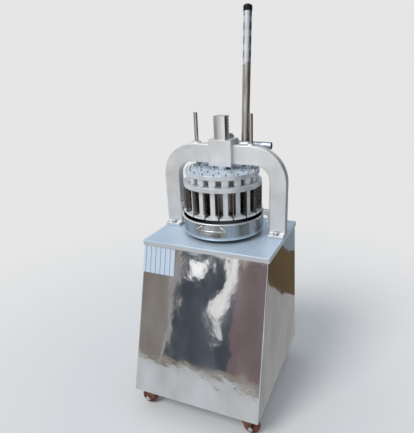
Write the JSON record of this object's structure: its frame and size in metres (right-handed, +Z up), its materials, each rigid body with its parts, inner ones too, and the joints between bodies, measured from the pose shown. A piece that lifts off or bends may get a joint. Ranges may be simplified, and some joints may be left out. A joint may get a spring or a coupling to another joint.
{
  "type": "manual dough divider",
  "caption": "Hand lever machine on a wheeled steel cabinet: a head with press blocks and knives comes down into a round pan and divides dough into equal pieces",
  "frame": {"origin": "on the floor under the middle of the cabinet's footprint", "axes": "+Z up, -Y the front with the pan's handle, +X the right side with the lever"},
  "size_m": [0.413, 0.449, 1.1936],
  "materials": {
    "polished_sheet": "mirror-polished stainless sheet",
    "satin_sheet": "satin stainless sheet",
    "frame_steel": "grey primed welded steel",
    "label_plate": "blank pale plate with plain ruled lines",
    "cast_aluminium": "ground cast aluminium",
    "machined_steel": "bright machined steel",
    "dark_steel": "dark oiled steel",
    "fastener_steel": "bright zinc-plated fasteners",
    "lever_steel": "drawn steel tube, partly under pale film",
    "black_cap": "black plastic cap",
    "knife_steel": "stainless blades",
    "block_casting": "cast aluminium, pale satin",
    "pan_steel": "polished spun stainless",
    "caster_steel": "zinc-plated pressed steel",
    "red_wheel": "dark red-brown wheel"
  },
  "bodies": {
    "stand": {"support_frame": "frame_steel", "cabinet_shell": "polished_sheet", "table_lid": "satin_sheet", "rear_panel": "polished_sheet", "rear_panel_screws": "fastener_steel", "label_plate": "label_plate", "arch_casting": "cast_aluminium", "arch_foot_bolts": "fastener_steel", "arch_foot_nuts": "fastener_steel", "pan_lugs": "machined_steel", "pan_lug_screws": "fastener_steel", "caster_plates": "caster_steel", "caster_bolts": "fastener_steel"},
    "lever": {"pinion": "dark_steel", "pinion_key": "dark_steel", "pinion_shaft": "machined_steel", "shaft_collar": "dark_steel", "shaft_collar_screw": "dark_steel", "lever_hub": "satin_sheet", "lever_hub_bolt": "fastener_steel", "lever_tube": "lever_steel", "lever_cap": "black_cap"},
    "knife_head": {"rack_column": "machined_steel", "rack_bolt": "fastener_steel", "knife_plate": "block_casting", "outer_radial_knives": "knife_steel", "middle_radial_knives": "knife_steel", "inner_radial_knives": "knife_steel", "large_ring_knife": "knife_steel", "small_ring_knife": "knife_steel"},
    "press_head": {"press_plate": "block_casting", "outer_press_blocks": "block_casting", "middle_press_blocks": "block_casting", "inner_press_blocks": "block_casting", "block_bolts": "fastener_steel", "guide_rods": "machined_steel", "guide_rod_nuts": "fastener_steel"},
    "pan": {"dough_pan": "pan_steel", "pan_handle": "pan_steel"},
    "fork_fl": {"caster_fork_fl": "caster_steel", "caster_axle_fl": "fastener_steel"},
    "wheel_fl": {"caster_wheel_fl": "red_wheel"},
    "fork_fr": {"caster_fork_fr": "caster_steel", "caster_axle_fr": "fastener_steel"},
    "wheel_fr": {"caster_wheel_fr": "red_wheel"},
    "fork_rl": {"caster_fork_rl": "caster_steel", "caster_axle_rl": "fastener_steel"},
    "wheel_rl": {"caster_wheel_rl": "red_wheel"},
    "fork_rr": {"caster_fork_rr": "caster_steel", "caster_axle_rr": "fastener_steel"},
    "wheel_rr": {"caster_wheel_rr": "red_wheel"}
  },
  "joints": [
    {"name": "lever_turn", "type": "hinge", "parent": "stand", "child": "lever", "pos_m": [0, 0.098, 0.807], "axis": [1, 0, 0], "range_deg": [0, 100]},
    {"name": "knife_head_slide", "type": "slide", "parent": "stand", "child": "knife_head", "axis": [0, 0, 1], "range_m": [-0.0525, 0]},
    {"name": "press_head_slide", "type": "slide", "parent": "stand", "child": "press_head", "axis": [0, 0, 1], "range_m": [-0.0305, 0]},
    {"name": "pan_slide", "type": "slide", "parent": "stand", "child": "pan", "axis": [0, -1, 0], "range_m": [0, 0.27]},
    {"name": "swivel_fl", "type": "hinge", "parent": "stand", "child": "fork_fl", "pos_m": [-0.161, -0.188, 0.06], "axis": [0, 0, 1], "continuous": true},
    {"name": "wheel_spin_fl", "type": "hinge", "parent": "fork_fl", "child": "wheel_fl", "pos_m": [-0.176, -0.188, 0.025], "axis": [0, 1, 0], "continuous": true},
    {"name": "swivel_fr", "type": "hinge", "parent": "stand", "child": "fork_fr", "pos_m": [0.161, -0.188, 0.06], "axis": [0, 0, 1], "continuous": true},
    {"name": "wheel_spin_fr", "type": "hinge", "parent": "fork_fr", "child": "wheel_fr", "pos_m": [0.176, -0.188, 0.025], "axis": [0, 1, 0], "continuous": true},
    {"name": "swivel_rl", "type": "hinge", "parent": "stand", "child": "fork_rl", "pos_m": [-0.161, 0.188, 0.06], "axis": [0, 0, 1], "continuous": true},
    {"name": "wheel_spin_rl", "type": "hinge", "parent": "fork_rl", "child": "wheel_rl", "pos_m": [-0.146, 0.188, 0.025], "axis": [0, 1, 0], "continuous": true},
    {"name": "swivel_rr", "type": "hinge", "parent": "stand", "child": "fork_rr", "pos_m": [0.161, 0.188, 0.06], "axis": [0, 0, 1], "continuous": true},
    {"name": "wheel_spin_rr", "type": "hinge", "parent": "fork_rr", "child": "wheel_rr", "pos_m": [0.146, 0.188, 0.025], "axis": [0, 1, 0], "continuous": true}
  ],
  "couplings": [
    {"joint": "knife_head_slide", "follows": "lever_turn", "m_per_rad": -0.03},
    {"joint": "press_head_slide", "follows": "lever_turn", "m_per_rad": -0.0174}
  ]
}
